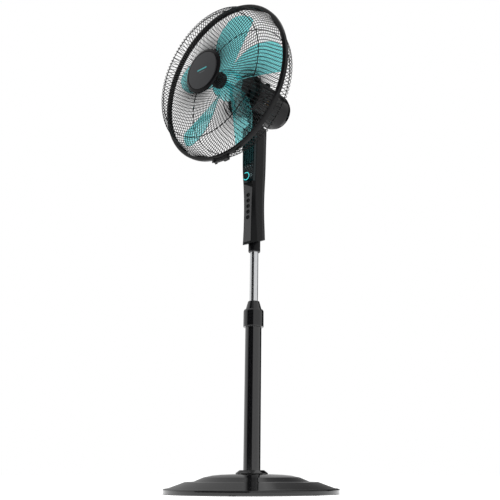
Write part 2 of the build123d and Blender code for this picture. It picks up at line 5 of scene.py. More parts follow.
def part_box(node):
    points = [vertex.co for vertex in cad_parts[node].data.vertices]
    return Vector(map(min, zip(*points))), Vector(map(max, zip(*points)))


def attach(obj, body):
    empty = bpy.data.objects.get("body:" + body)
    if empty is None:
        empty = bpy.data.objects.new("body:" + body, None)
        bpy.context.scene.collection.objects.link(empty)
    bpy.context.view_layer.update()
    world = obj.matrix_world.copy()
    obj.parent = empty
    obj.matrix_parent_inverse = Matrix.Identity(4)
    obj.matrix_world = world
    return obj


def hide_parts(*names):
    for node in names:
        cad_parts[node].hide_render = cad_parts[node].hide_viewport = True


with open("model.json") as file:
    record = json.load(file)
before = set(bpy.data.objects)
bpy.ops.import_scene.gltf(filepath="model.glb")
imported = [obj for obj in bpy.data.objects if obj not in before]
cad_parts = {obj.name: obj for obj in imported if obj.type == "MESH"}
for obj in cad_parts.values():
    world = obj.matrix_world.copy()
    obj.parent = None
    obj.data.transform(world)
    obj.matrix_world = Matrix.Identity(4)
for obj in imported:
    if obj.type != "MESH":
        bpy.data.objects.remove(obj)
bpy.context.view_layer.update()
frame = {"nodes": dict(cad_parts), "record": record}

MM = 0.001
AXIS_Z = 1039.0
scene = bpy.context.scene
nodes = frame["nodes"]

# ------------------------------------------------------------------ camera
cam_d = bpy.data.cameras.new("camera")
cam = bpy.data.objects.new("camera", cam_d)
scene.collection.objects.link(cam)
cam.location = (1.16642, -1.28882, 0.04467)
cam.rotation_euler = (math.radians(107.79), 0.0, math.radians(40.011))
cam_d.sensor_width = 36.0
cam_d.lens = 50.27
cam_d.shift_x = -0.0582
cam_d.clip_start = 0.01
cam_d.clip_end = 100
scene.camera = cam
scene.view_settings.view_transform = "Standard"

# ------------------------------------------------------------------ materials


def N(nt, kind, loc=(0, 0), **vals):
    n = nt.nodes.new(kind)
    n.location = loc
    for k, v in vals.items():
        n.inputs[k].default_value = v
    return n


def material(name, base, rough, metal=0.0, coat=0.0, coat_rough=0.05, spec=0.5, trans=0.0, ior=1.5,
             grain=900.0, grain_h=0.00002, grain_s=0.12, tone=0.08, tone_scale=9.0, rough_var=0.06, rough_scale=30.0,
             wear=0.0, wear_col=(0.2, 0.2, 0.2), dust=0.0, dust_col=(0.22, 0.22, 0.21), brushed=None, emit=0.0):
    m = bpy.data.materials.new(name)
    m.use_nodes = True
    nt = m.node_tree
    nt.nodes.clear()
    out = N(nt, "ShaderNodeOutputMaterial", (900, 0))
    b = N(nt, "ShaderNodeBsdfPrincipled", (600, 0))
    nt.links.new(b.outputs[0], out.inputs[0])
    b.inputs["Metallic"].default_value = metal
    b.inputs["Coat Weight"].default_value = coat
    b.inputs["Coat Roughness"].default_value = coat_rough
    b.inputs["Specular IOR Level"].default_value = spec
    b.inputs["IOR"].default_value = ior
    b.inputs["Transmission Weight"].default_value = trans
    tc = N(nt, "ShaderNodeTexCoord", (-1200, 0))
    # colour: slow tonal drift, a little dust on faces that look up, scuffs
    n1 = N(nt, "ShaderNodeTexNoise", (-900, 200), Scale=tone_scale, Detail=5.0, Roughness=0.6)
    nt.links.new(tc.outputs["Object"], n1.inputs["Vector"])
    lo = tuple(max(0.0, c * (1 - tone)) for c in base) + (1,)
    hi = tuple(min(1.0, c * (1 + tone)) for c in base) + (1,)
    mix = N(nt, "ShaderNodeMix", (-600, 200))
    mix.data_type = "RGBA"
    mix.inputs[6].default_value = lo
    mix.inputs[7].default_value = hi
    nt.links.new(n1.outputs["Fac"], mix.inputs[0])
    col = mix.outputs[2]
    if wear > 0:
        n2 = N(nt, "ShaderNodeTexNoise", (-900, 500), Scale=140.0, Detail=6.0, Roughness=0.75)
        n3 = N(nt, "ShaderNodeTexNoise", (-900, 700), Scale=11.0, Detail=3.0, Roughness=0.5)
        nt.links.new(tc.outputs["Object"], n2.inputs["Vector"])
        nt.links.new(tc.outputs["Object"], n3.inputs["Vector"])
        mul = N(nt, "ShaderNodeMath", (-720, 600))
        mul.operation = "MULTIPLY"
        nt.links.new(n2.outputs["Fac"], mul.inputs[0])
        nt.links.new(n3.outputs["Fac"], mul.inputs[1])
        cr = N(nt, "ShaderNodeMapRange", (-560, 600))
        cr.inputs["From Min"].default_value = 0.37
        cr.inputs["From Max"].default_value = 0.46
        cr.inputs["To Max"].default_value = wear
        nt.links.new(mul.outputs[0], cr.inputs["Value"])
        mx = N(nt, "ShaderNodeMix", (-350, 350))
        mx.data_type = "RGBA"
        mx.inputs[7].default_value = tuple(wear_col) + (1,)
        nt.links.new(cr.outputs[0], mx.inputs[0])
        nt.links.new(col, mx.inputs[6])
        col = mx.outputs[2]
    if dust > 0:
        geo = N(nt, "ShaderNodeNewGeometry", (-1100, 900))
        sep = N(nt, "ShaderNodeSeparateXYZ", (-900, 900))
        nt.links.new(geo.outputs["Normal"], sep.inputs[0])
        n4 = N(nt, "ShaderNodeTexNoise", (-900, 1100), Scale=45.0, Detail=8.0, Roughness=0.7)
        nt.links.new(tc.outputs["Object"], n4.inputs["Vector"])
        up = N(nt, "ShaderNodeMapRange", (-700, 900))
        up.inputs["From Min"].default_value = 0.75
        up.inputs["From Max"].default_value = 1.0
        up.inputs["To Max"].default_value = dust
        nt.links.new(sep.outputs["Z"], up.inputs["Value"])
        mu = N(nt, "ShaderNodeMath", (-520, 900))
        mu.operation = "MULTIPLY"
        nt.links.new(up.outputs[0], mu.inputs[0])
        nt.links.new(n4.outputs["Fac"], mu.inputs[1])
        md = N(nt, "ShaderNodeMix", (-150, 400))
        md.data_type = "RGBA"
        md.inputs[7].default_value = tuple(dust_col) + (1,)
        nt.links.new(mu.outputs[0], md.inputs[0])
        nt.links.new(col, md.inputs[6])
        col = md.outputs[2]
    nt.links.new(col, b.inputs["Base Color"])
    # roughness: uneven polish and fine smears
    n5 = N(nt, "ShaderNodeTexNoise", (-900, -200), Scale=rough_scale, Detail=7.0, Roughness=0.65)
    nt.links.new(tc.outputs["Object"], n5.inputs["Vector"])
    rr = N(nt, "ShaderNodeMapRange", (-600, -200))
    rr.inputs["To Min"].default_value = max(0.02, rough - rough_var)
    rr.inputs["To Max"].default_value = min(1.0, rough + rough_var)
    nt.links.new(n5.outputs["Fac"], rr.inputs["Value"])
    nt.links.new(rr.outputs[0], b.inputs["Roughness"])
    # bump: moulding grain, or brushing
    vec = tc.outputs["Object"]
    if brushed:
        mp = N(nt, "ShaderNodeMapping", (-1050, -500))
        mp.inputs["Scale"].default_value = brushed
        nt.links.new(vec, mp.inputs["Vector"])
        vec = mp.outputs[0]
    n6 = N(nt, "ShaderNodeTexNoise", (-900, -500), Scale=grain, Detail=3.0, Roughness=0.6)
    nt.links.new(vec, n6.inputs["Vector"])
    bp = N(nt, "ShaderNodeBump", (200, -400), Strength=grain_s, Distance=grain_h)
    nt.links.new(n6.outputs["Fac"], bp.inputs["Height"])
    nt.links.new(bp.outputs[0], b.inputs["Normal"])
    if emit:
        b.inputs["Emission Color"].default_value = tuple(base) + (1,)
        b.inputs["Emission Strength"].default_value = emit
    return m


M = {}
M["gloss_black"] = material("gloss_black", (0.003, 0.003, 0.0034), 0.08, spec=0.42, coat=0.25, coat_rough=0.04, grain=60, grain_h=0.00003, grain_s=0.05,
                            rough_var=0.03, dust=0.02, wear=0.02, wear_col=(0.03, 0.03, 0.03))
M["black_paint"] = material("black_paint", (0.003, 0.003, 0.0034), 0.10, spec=0.5, coat=0.5, coat_rough=0.05, grain=420, grain_h=0.00002, grain_s=0.05,
                            rough_var=0.03, wear=0.02, wear_col=(0.03, 0.03, 0.03))
M["black_plastic"] = material("black_plastic", (0.003, 0.003, 0.0034), 0.28, spec=0.12, grain=1400, grain_h=0.00003, grain_s=0.22, rough_var=0.07, dust=0.02,
                              wear=0.03, wear_col=(0.015, 0.015, 0.016))
M["motor_black"] = material("motor_black", (0.0028, 0.0028, 0.0032), 0.13, spec=0.2, grain=1600, grain_h=0.00002, grain_s=0.15, rough_var=0.04, dust=0.02,
                            wear=0.04, wear_col=(0.02, 0.02, 0.021))
M["column_black"] = material("column_black", (0.0022, 0.0023, 0.0026), 0.26, spec=0.13, grain=1500, grain_h=0.00003, grain_s=0.2, rough_var=0.06, dust=0.02,
                             wear=0.03, wear_col=(0.012, 0.012, 0.013))
M["column_rear"] = material("column_rear", (0.010, 0.010, 0.0105), 0.4, spec=0.24, grain=1500, grain_h=0.00005, grain_s=0.35, rough_var=0.07, dust=0.02,
                            wear=0.03, wear_col=(0.03, 0.03, 0.032))
M["cast_iron"] = material("cast_iron", (0.09, 0.09, 0.09), 0.7, metal=0.9, grain=160, grain_h=0.0003, grain_s=0.6, tone=0.3, wear=0.35, wear_col=(0.16, 0.09, 0.05))
M["steel"] = material("steel", (0.56, 0.56, 0.58), 0.28, metal=1.0, grain=600, grain_h=0.00002, grain_s=0.25, tone=0.08, brushed=(1, 1, 12), wear=0.1, wear_col=(0.3, 0.28, 0.26))
M["rubber"] = material("rubber", (0.012, 0.012, 0.012), 0.75, spec=0.25, grain=700, grain_h=0.0001, grain_s=0.5, wear=0.15, wear_col=(0.05, 0.05, 0.05))
M["dark_nylon"] = material("dark_nylon", (0.008, 0.008, 0.0085), 0.45, spec=0.3, grain=900, grain_h=0.00006, grain_s=0.35)
M["chrome"] = material("chrome", (0.585, 0.595, 0.605), 0.22, metal=1.0, grain=900, grain_h=0.00002, grain_s=0.12, tone=0.03, rough_var=0.04, brushed=(30, 30, 1),
                       wear=0.0)
M["band_black"] = material("band_black", (0.0022, 0.0022, 0.0025), 0.2, spec=0.16, grain=1400, grain_h=0.00002, grain_s=0.15, rough_var=0.05, dust=0.01,
                           wear=0.02, wear_col=(0.015, 0.015, 0.016))
M["panel_grey"] = material("panel_grey", (0.031, 0.031, 0.032), 0.36, spec=0.36, grain=1500, grain_h=0.00004, grain_s=0.3, wear=0.03, wear_col=(0.08, 0.08, 0.08))
M["button_grey"] = material("button_grey", (0.0012, 0.0012, 0.0014), 0.14, spec=0.07, grain=1300, grain_h=0.00003, grain_s=0.12, wear=0.04, wear_col=(0.02, 0.02, 0.02))
M["circuit_board"] = material("circuit_board", (0.012, 0.09, 0.035), 0.35, grain=400, grain_h=0.00008, grain_s=0.4, tone=0.25, tone_scale=120)
M["lamination"] = material("lamination", (0.33, 0.33, 0.34), 0.45, metal=0.9, grain=200, grain_h=0.0001, grain_s=0.6, brushed=(1, 60, 1), wear=0.15, wear_col=(0.2, 0.12, 0.07))
M["copper"] = material("copper", (0.5, 0.17, 0.06), 0.3, metal=0.9, grain=260, grain_h=0.0002, grain_s=0.6, brushed=(1, 14, 1), tone=0.2)
M["bronze"] = material("bronze", (0.52, 0.34, 0.12), 0.35, metal=1.0, grain=500, grain_h=0.00004, grain_s=0.3, wear=0.15, wear_col=(0.3, 0.2, 0.1))
M["aluminium"] = material("aluminium", (0.62, 0.62, 0.63), 0.5, metal=0.9, grain=300, grain_h=0.00012, grain_s=0.5, wear=0.1, wear_col=(0.4, 0.4, 0.4))
M["wire_black"] = material("wire_black", (0.002, 0.002, 0.0023), 0.3, spec=0.13, grain=700, grain_h=0.00003, grain_s=0.2, wear=0.03, wear_col=(0.03, 0.03, 0.03))
M["foot_glass"] = material("foot_glass", (0.001, 0.0014, 0.0015), 0.12, spec=0.05, grain=300, grain_h=0.00001, grain_s=0.05, rough_var=0.03)
M["badge_grey"] = material("badge_grey", (0.014, 0.0145, 0.016), 0.36, spec=0.30, grain=1500, grain_h=0.00003, grain_s=0.25, rough_var=0.05, wear=0.03, wear_col=(0.03, 0.03, 0.032))
M["mark_teal"] = material("mark_teal", (0.02, 0.20, 0.21), 0.3, grain=900, grain_h=0.00002, grain_s=0.1)
M["mark_grey"] = material("mark_grey", (0.05, 0.055, 0.06), 0.35, grain=900, grain_h=0.00002, grain_s=0.1)
M["ring_teal"] = material("ring_teal", (0.05, 0.50, 0.52), 0.25, grain=900, grain_h=0.00002, grain_s=0.1, emit=0.6)
M["ring_dim"] = material("ring_dim", (0.10, 0.16, 0.17), 0.25, grain=900, grain_h=0.00002, grain_s=0.1, emit=0.1)
M["teal_clear"] = material("teal_clear", (0.27, 0.79, 0.81), 0.07, spec=0.5, trans=0.95, ior=1.3, coat=0.2, coat_rough=0.05, grain=240, grain_h=0.00003, grain_s=0.04,
                           tone=0.05, rough_var=0.03)


def display_material():
    m = material("display_glass", (0.0015, 0.005, 0.006), 0.06, spec=0.2, coat=0.25, coat_rough=0.02, grain=200, grain_h=0.00001, grain_s=0.03, rough_var=0.02, wear=0.01)
    nt = m.node_tree
    b = next(n for n in nt.nodes if n.type == "BSDF_PRINCIPLED")
    tc = next(n for n in nt.nodes if n.type == "TEX_COORD")
    old = b.inputs["Base Color"].links[0].from_socket
    sep = N(nt, "ShaderNodeSeparateXYZ", (-1000, -900))
    nt.links.new(tc.outputs["Object"], sep.inputs[0])
    # a fine grid of printed dots that glows faintly teal up the glass
    vx = N(nt, "ShaderNodeMath", (-800, -900)); vx.operation = "MULTIPLY"; vx.inputs[1].default_value = 2 * math.pi / 0.0026
    vz = N(nt, "ShaderNodeMath", (-800, -1050)); vz.operation = "MULTIPLY"; vz.inputs[1].default_value = 2 * math.pi / 0.0026
    nt.links.new(sep.outputs["X"], vx.inputs[0]); nt.links.new(sep.outputs["Z"], vz.inputs[0])
    cx = N(nt, "ShaderNodeMath", (-640, -900)); cx.operation = "COSINE"
    cz = N(nt, "ShaderNodeMath", (-640, -1050)); cz.operation = "COSINE"
    nt.links.new(vx.outputs[0], cx.inputs[0]); nt.links.new(vz.outputs[0], cz.inputs[0])
    mu = N(nt, "ShaderNodeMath", (-480, -950)); mu.operation = "MULTIPLY"
    nt.links.new(cx.outputs[0], mu.inputs[0]); nt.links.new(cz.outputs[0], mu.inputs[1])
    dot = N(nt, "ShaderNodeMapRange", (-320, -950))
    dot.inputs["From Min"].default_value = 0.35
    dot.inputs["From Max"].default_value = 0.75
    nt.links.new(mu.outputs[0], dot.inputs["Value"])
    zf = N(nt, "ShaderNodeMapRange", (-640, -1250))
    zf.inputs["From Min"].default_value = 0.835
    zf.inputs["From Max"].default_value = 0.875
    zf.inputs["To Max"].default_value = 0.55
    nt.links.new(sep.outputs["Z"], zf.inputs["Value"])
    f = N(nt, "ShaderNodeMath", (-160, -1000)); f.operation = "MULTIPLY"
    nt.links.new(dot.outputs[0], f.inputs[0]); nt.links.new(zf.outputs[0], f.inputs[1])
    mx = N(nt, "ShaderNodeMix", (100, 200)); mx.data_type = "RGBA"
    mx.inputs[7].default_value = (0.003, 0.022, 0.025, 1)
    nt.links.new(f.outputs[0], mx.inputs[0])
    nt.links.new(old, mx.inputs[6])
    nt.links.new(mx.outputs[2], b.inputs["Base Color"])
    return m


M["display_glass"] = display_material()

NODE_MAT = {"column_front_shell": "column_black", "column_rear_shell": "column_rear", "motor_housing": "motor_black",
            "motor_rear_cap": "motor_black", "motor_front_cover": "motor_black", "tilt_fork": "motor_black"}
slot_of = {s["node"]: s["material_slot"] for s in frame["record"]["subparts"]}


def paint(o, m):
    if not o.material_slots:
        o.data.materials.append(m)
    for s in o.material_slots:
        s.link = "OBJECT"
        s.material = m


for n, o in nodes.items():
    paint(o, M[NODE_MAT.get(n, slot_of.get(n, "black_plastic"))])

# ------------------------------------------------------------------ mesh helpers


def finish_mesh(name, verts, faces, mat, body, slot=None, replaces=(), sharp=38, flip=None):
    me = bpy.data.meshes.new(name)
    me.from_pydata([tuple(c * MM for c in v) for v in verts], [], faces)
    me.validate()
    me.update()
    import bmesh
    bm = bmesh.new()
    bm.from_mesh(me)
    bmesh.ops.remove_doubles(bm, verts=bm.verts, dist=1e-6)
    bmesh.ops.dissolve_degenerate(bm, edges=bm.edges, dist=1e-7)
    bmesh.ops.recalc_face_normals(bm, faces=bm.faces)
    bm.to_mesh(me)
    bm.free()
    me.polygons.foreach_set("use_smooth", [True] * len(me.polygons))
    me.set_sharp_from_angle(angle=math.radians(sharp))
    o = bpy.data.objects.new(name, me)
    scene.collection.objects.link(o)
    me.materials.append(mat)
    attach(o, body)
    if replaces:
        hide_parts(*replaces)
    return o


def rounded(pts, n=6):
    """closed 2D outline with its corner radii worked in"""
    out = []
    k = len(pts)
    for i in range(k):
        p0, p1, p2 = pts[i - 1], pts[i], pts[(i + 1) % k]
        rad = p1[2] if len(p1) > 2 else 0
        if not rad:
            out.append((p1[0], p1[1]))
            continue
        ax, ay = p0[0] - p1[0], p0[1] - p1[1]
        bx, by = p2[0] - p1[0], p2[1] - p1[1]
        la, lb = math.hypot(ax, ay), math.hypot(bx, by)
        ax, ay, bx, by = ax / la, ay / la, bx / lb, by / lb
        ang = math.acos(max(-1, min(1, ax * bx + ay * by)))
        t = rad / math.tan(ang / 2)
        mx, my = ax + bx, ay + by
        lm = math.hypot(mx, my)
        cc = rad / math.sin(ang / 2)
        c = (p1[0] + mx / lm * cc, p1[1] + my / lm * cc)
        s = (p1[0] + ax * t, p1[1] + ay * t)
        e = (p1[0] + bx * t, p1[1] + by * t)
        a0 = math.atan2(s[1] - c[1], s[0] - c[0])
        a1 = math.atan2(e[1] - c[1], e[0] - c[0])
        d = (a1 - a0 + math.pi) % (2 * math.pi) - math.pi
        m = max(2, int(n * abs(d) / 1.2) + 2)
        for j in range(m + 1):
            a = a0 + d * j / m
            out.append((c[0] + rad * math.cos(a), c[1] + rad * math.sin(a)))
    return out


def lathe(pts, segs=128, to=None, a0=0.0, a1=360.0, radius_fn=None):
    """verts and faces of a closed outline (r, z) turned round the axis; to maps (x, y, z) to the fan's frame"""
    verts, faces = [], []
    k = len(pts)
    full = abs(a1 - a0) >= 359.99
    steps = segs if full else segs + 1
    for i in range(steps):
        a = math.radians(a0 + (a1 - a0) * i / segs)
        ca, sa = math.cos(a), math.sin(a)
        for j, (r, z) in enumerate(pts):
            rr = max(r, 0.0)
            if radius_fn:
                rr = radius_fn(rr, z, math.degrees(a))
            verts.append((rr * ca, rr * sa, z))
    for i in range(segs):
        i2 = (i + 1) % steps
        for j in range(k):
            j2 = (j + 1) % k
            if pts[j][0] <= 1e-9 and pts[j2][0] <= 1e-9:
                continue
            q = [i * k + j, i2 * k + j, i2 * k + j2, i * k + j2]
            faces.append(q)
    if not full:
        faces.append([j for j in range(k)][::-1])
        faces.append([segs * k + j for j in range(k)])
    if to:
        verts = [to(v) for v in verts]
    return verts, faces


def head(v):
    return (v[0], -v[2], AXIS_Z + v[1])


def join(*parts):
    verts, faces = [], []
    for v, f in parts:
        b = len(verts)
        verts.extend(v)
        faces.extend([[i + b for i in q] for q in f])
    return verts, faces


def rbox(x0, x1, y0, y1, z0, z1, r=0.8, n=3):
    """box with rounded edges, as a mesh of stacked rounded rectangles"""
    def ring(z, d):
        pts = rounded([(x0 + d, y0 + d, r), (x1 - d, y0 + d, r), (x1 - d, y1 - d, r), (x0 + d, y1 - d, r)], n)
        return [(p[0], p[1], z) for p in pts]
    low = []
    for j in range(n + 1):
        a = math.pi / 2 * j / n
        low.append(ring(z0 + r - r * math.cos(a), (r - r * math.sin(a)) * 0.6))
    high = []
    for j in range(n, -1, -1):
        a = math.pi / 2 * j / n
        high.append(ring(z1 - r + r * math.cos(a), (r - r * math.sin(a)) * 0.6))
    rings = low + high
    verts = [p for g in rings for p in g]
    k = len(rings[0])
    faces = []
    for i in range(len(rings) - 1):
        for j in range(k):
            j2 = (j + 1) % k
            faces.append([i * k + j, i * k + j2, (i + 1) * k + j2, (i + 1) * k + j])
    faces.append(list(range(k))[::-1])
    faces.append([(len(rings) - 1) * k + j for j in range(k)])
    return verts, faces


# ------------------------------------------------------------------ base
outer = [(207.5, 1.5, 0.4), (207.5, 10.8, 1.6), (203.0, 12.6, 1.2), (197.0, 12.9, 1.5), (157.4, 26.9, 5.0),
         (137.0, 27.8, 6.0), (113.5, 37.3, 14.0), (93.0, 41.3, 20.0), (72.6, 43.2, 30.0), (39.5, 44.4), (20.6, 44.6)]
inner = [(20.6, 41.4), (39.0, 41.2), (72.0, 40.0, 30.0), (92.0, 38.2, 20.0), (112.0, 34.4, 12.0), (136.0, 24.8, 5.0),
         (156.6, 23.9, 5.0), (196.0, 9.9, 1.5), (202.0, 9.2, 1.0), (204.5, 8.0), (204.5, 1.5)]
parts = [lathe(rounded(outer + inner, 10), 224)]
for k in range(4):
    a = math.radians(45 + 90 * k)
    px, py = 100 * math.cos(a), 100 * math.sin(a)
    parts.append(lathe([(2.2, 14.4), (6.4, 14.4), (7, 15.0), (7, 37.4), (2.2, 37.4)], 28, lambda v, px=px, py=py: (v[0] + px, v[1] + py, v[2])))
for k in range(6):
    a = math.radians(60 * k)
    px, py = 190 * math.cos(a), 190 * math.sin(a)
    parts.append(lathe([(5.05, 3.5), (8.5, 3.5), (9, 4.0), (9, 11.4), (5.05, 11.4)], 28, lambda v, px=px, py=py: (v[0] + px, v[1] + py, v[2])))
finish_mesh("base_shell", *join(*parts), M["gloss_black"], "base", "gloss_black", ["base_cover"], sharp=25)
finish_mesh("pole_base_ring", *lathe(rounded([(20.35, 44.65), (38.4, 44.65, 0.6), (38.8, 46.4, 0.8), (29.4, 53.3, 1.0), (20.35, 53.3)], 6), 128),
            M["gloss_black"], "base", "gloss_black", ["pole_flange"])
finish_mesh("pole_tube", *lathe([(20.3, 14), (20.3, 424), (19.1, 424), (19.1, 14)], 160), M["black_paint"], "base", "black_paint", ["outer_pole"])

# ------------------------------------------------------------------ lock nut


def nut_ribs(r, z, a):
    if r > 25.0 and 401.5 < z < 434.0:
        d = abs((a % 15) - 7.5)
        return r - 0.12 * max(0.0, 1 - ((7.5 - d) / 1.3) ** 2)
    return r


nut_out = [(20.7, 397), (24.9, 397, 0.5), (25.5, 398.6, 0.6), (25.5, 402), (25.5, 403.5), (25.5, 432.5), (25.5, 434), (25.5, 437.5, 1.2), (23.8, 441.2, 0.4),
           (20.5, 441.7, 0.3), (14.4, 463.5, 0.8), (11.05, 463.5), (11.05, 461.5), (16.6, 449.5), (16.6, 446.0), (18.35, 446.0), (18.35, 428.2), (20.7, 428.2)]
finish_mesh("height_lock_nut", *lathe(rounded(nut_out, 6), 240, radius_fn=nut_ribs), M["gloss_black"], "lock_nut", "gloss_black", ["lock_nut"])

# ------------------------------------------------------------------ chrome tube
finish_mesh("chrome_tube", *lathe([(10.6, 250), (10.6, 640), (9.6, 640), (9.6, 250)], 128), M["chrome"], "column", "chrome", ["inner_pole"])

# ------------------------------------------------------------------ guards


def bend_path(a, v, d, rad, n=10):
    ax, ay = a[0] - v[0], a[1] - v[1]
    bx, by = d[0] - v[0], d[1] - v[1]
    la, lb = math.hypot(ax, ay), math.hypot(bx, by)
    ax, ay, bx, by = ax / la, ay / la, bx / lb, by / lb
    ang = math.acos(ax * bx + ay * by)
    t = rad / math.tan(ang / 2)
    mx, my = ax + bx, ay + by
    lm = math.hypot(mx, my)
    cc = rad / math.sin(ang / 2)
    c = (v[0] + mx / lm * cc, v[1] + my / lm * cc)
    s = (v[0] + ax * t, v[1] + ay * t)
    e = (v[0] + bx * t, v[1] + by * t)
    a0 = math.atan2(s[1] - c[1], s[0] - c[0])
    a1 = math.atan2(e[1] - c[1], e[0] - c[0])
    dd = (a1 - a0 + math.pi) % (2 * math.pi) - math.pi
    pts = [a, ((a[0] + s[0]) / 2, (a[1] + s[1]) / 2)]
    for j in range(n + 1):
        q = a0 + dd * j / n
        pts.append((c[0] + rad * math.cos(q), c[1] + rad * math.sin(q)))
    pts += [((e[0] + d[0]) / 2, (e[1] + d[1]) / 2), d]
    return pts, c


def tube_mesh(path, r, sides=8, closed=False):
    """round wire along 3D points"""
    P = [Vector(p) for p in path]
    n = len(P)
    verts, faces = [], []
    up = None
    for i in range(n):
        if closed:
            t = (P[(i + 1) % n] - P[i - 1]).normalized()
        else:
            t = (P[min(i + 1, n - 1)] - P[max(i - 1, 0)]).normalized()
        if up is None:
            up = t.orthogonal().normalized()
        u = (up - t * up.dot(t)).normalized()
        up = u
        w = t.cross(u)
        for k in range(sides):
            a = 2 * math.pi * k / sides
            verts.append(tuple(P[i] + (u * math.cos(a) + w * math.sin(a)) * r))
    m = n if closed else n - 1
    for i in range(m):
        i2 = (i + 1) % n
        for k in range(sides):
            k2 = (k + 1) % sides
            faces.append([i * sides + k, i * sides + k2, i2 * sides + k2, i2 * sides + k])
    if not closed:
        faces.append(list(range(sides))[::-1])
        faces.append([(n - 1) * sides + k for k in range(sides)])
    return verts, faces


def ring_mesh(rr, f, r, segs=192, sides=10):
    pts = [(r * math.cos(2 * math.pi * k / sides) + rr, f + r * math.sin(2 * math.pi * k / sides)) for k in range(sides)]
    return lathe(pts, segs, head)


def guard(name, a, v, d, rad, rings, node, wires=120, wr=0.9):
    path, c = bend_path(a, v, d, rad)
    parts = []
    for k in range(wires):
        q = math.radians(360 / wires * (k + 0.5))
        pts = [head((p[0] * math.cos(q), p[0] * math.sin(q), p[1])) for p in path]
        parts.append(tube_mesh(pts, wr, 8))
    for rr, f, r in rings:
        parts.append(ring_mesh(rr, f, r))
    finish_mesh(name, *join(*parts), M["wire_black"], "head", "wire_black", [node], sharp=60)


guard("front_wire_guard", (50.0, 200.9), (188.0, 188.4), (209.5, 131.6), 28.0,
      [(175.0, 186.8, 1.2), (212.3, 133.7, 1.7)], "front_guard")
guard("rear_wire_guard", (44.0, 51.2), (192.0, 67.6), (209.5, 129.4), 28.0,
      [(180.0, 70.7, 1.2), (212.3, 127.3, 1.7), (70.0, 56.9, 1.2)], "rear_guard")

# ------------------------------------------------------------------ badge
finish_mesh("badge_face", *lathe(rounded([(0, 207.0), (50.5, 207.0), (51.2, 208.2, 0.5), (50.0, 209.5, 0.9), (0, 209.8)], 6), 160, head),
            M["badge_grey"], "head", "badge_grey", ["badge"])
finish_mesh("badge_ring", *lathe(rounded([(0, 202.2), (60.4, 202.2, 0.4), (61.0, 203.4, 0.8), (60.2, 206.4, 1.4), (53.0, 208.6, 0.9), (51.7, 206.9), (0, 206.9)], 6), 160, head),
            M["black_plastic"], "head", "black_plastic", ["badge_backing"])


def slab(name, x0, x1, y0, y1, f0, f1, mat, skew=0.0):
    pts = rounded([(x0, y0, (y1 - y0) * 0.45), (x1, y0, (y1 - y0) * 0.45), (x1, y1, (y1 - y0) * 0.45), (x0, y1, (y1 - y0) * 0.45)], 6)
    k = len(pts)
    verts = [head((p[0] + skew * p[1], p[1], f0)) for p in pts] + [head((p[0] + skew * p[1], p[1], f1)) for p in pts]
    faces = [list(range(k))[::-1], list(range(k, 2 * k))] + [[j, (j + 1) % k, k + (j + 1) % k, k + j] for j in range(k)]
    return finish_mesh(name, verts, faces, mat, "head", None)


slab("badge_bar_long", -17, 17, 1.0, 5.0, 209.5, 210.05, M["mark_teal"])
slab("badge_bar_short", -10.0, 10.0, -5.8, -4.0, 209.5, 210.0, M["mark_grey"])

# ------------------------------------------------------------------ guard band
band = [(210.8, 123.5), (216.5, 123.5, 1.0), (220.0, 126.0, 2.4), (220.0, 135.0, 2.4), (216.5, 137.5, 1.0), (210.8, 137.5, 0.5), (210.8, 135.8),
        (214.6, 135.8), (214.6, 125.2), (210.8, 125.2)]
parts = [lathe(rounded(band, 8), 256, head)]
for f0, f1 in ((124.0, 126.2), (134.8, 137.0)):
    v, f = rbox(-27, -19, -229, -217.5, f0, f1, 0.5)
    parts.append(([head(p) for p in v], f))
parts.append(lathe([(0, 124.5), (1.5, 124.5), (1.5, 136.5), (0, 136.5)], 24, lambda v: head((v[0] - 23, v[1] - 225, v[2]))))
finish_mesh("guard_trim_band", *join(*parts), M["band_black"], "head", "black_plastic", ["guard_band"])

# ------------------------------------------------------------------ rotor
PL0, PL1, PL2 = 9.44, 10.29, -4.09
PT0, PT1, PT2 = 33.2, -5.42, -22.9
BLADE_R, MID_F, PHASE = 200.0, 119.8, 78.1


def pitch(r):
    return math.tan(0.272) * (0.35 + 0.65 * 130 / max(r, 50))


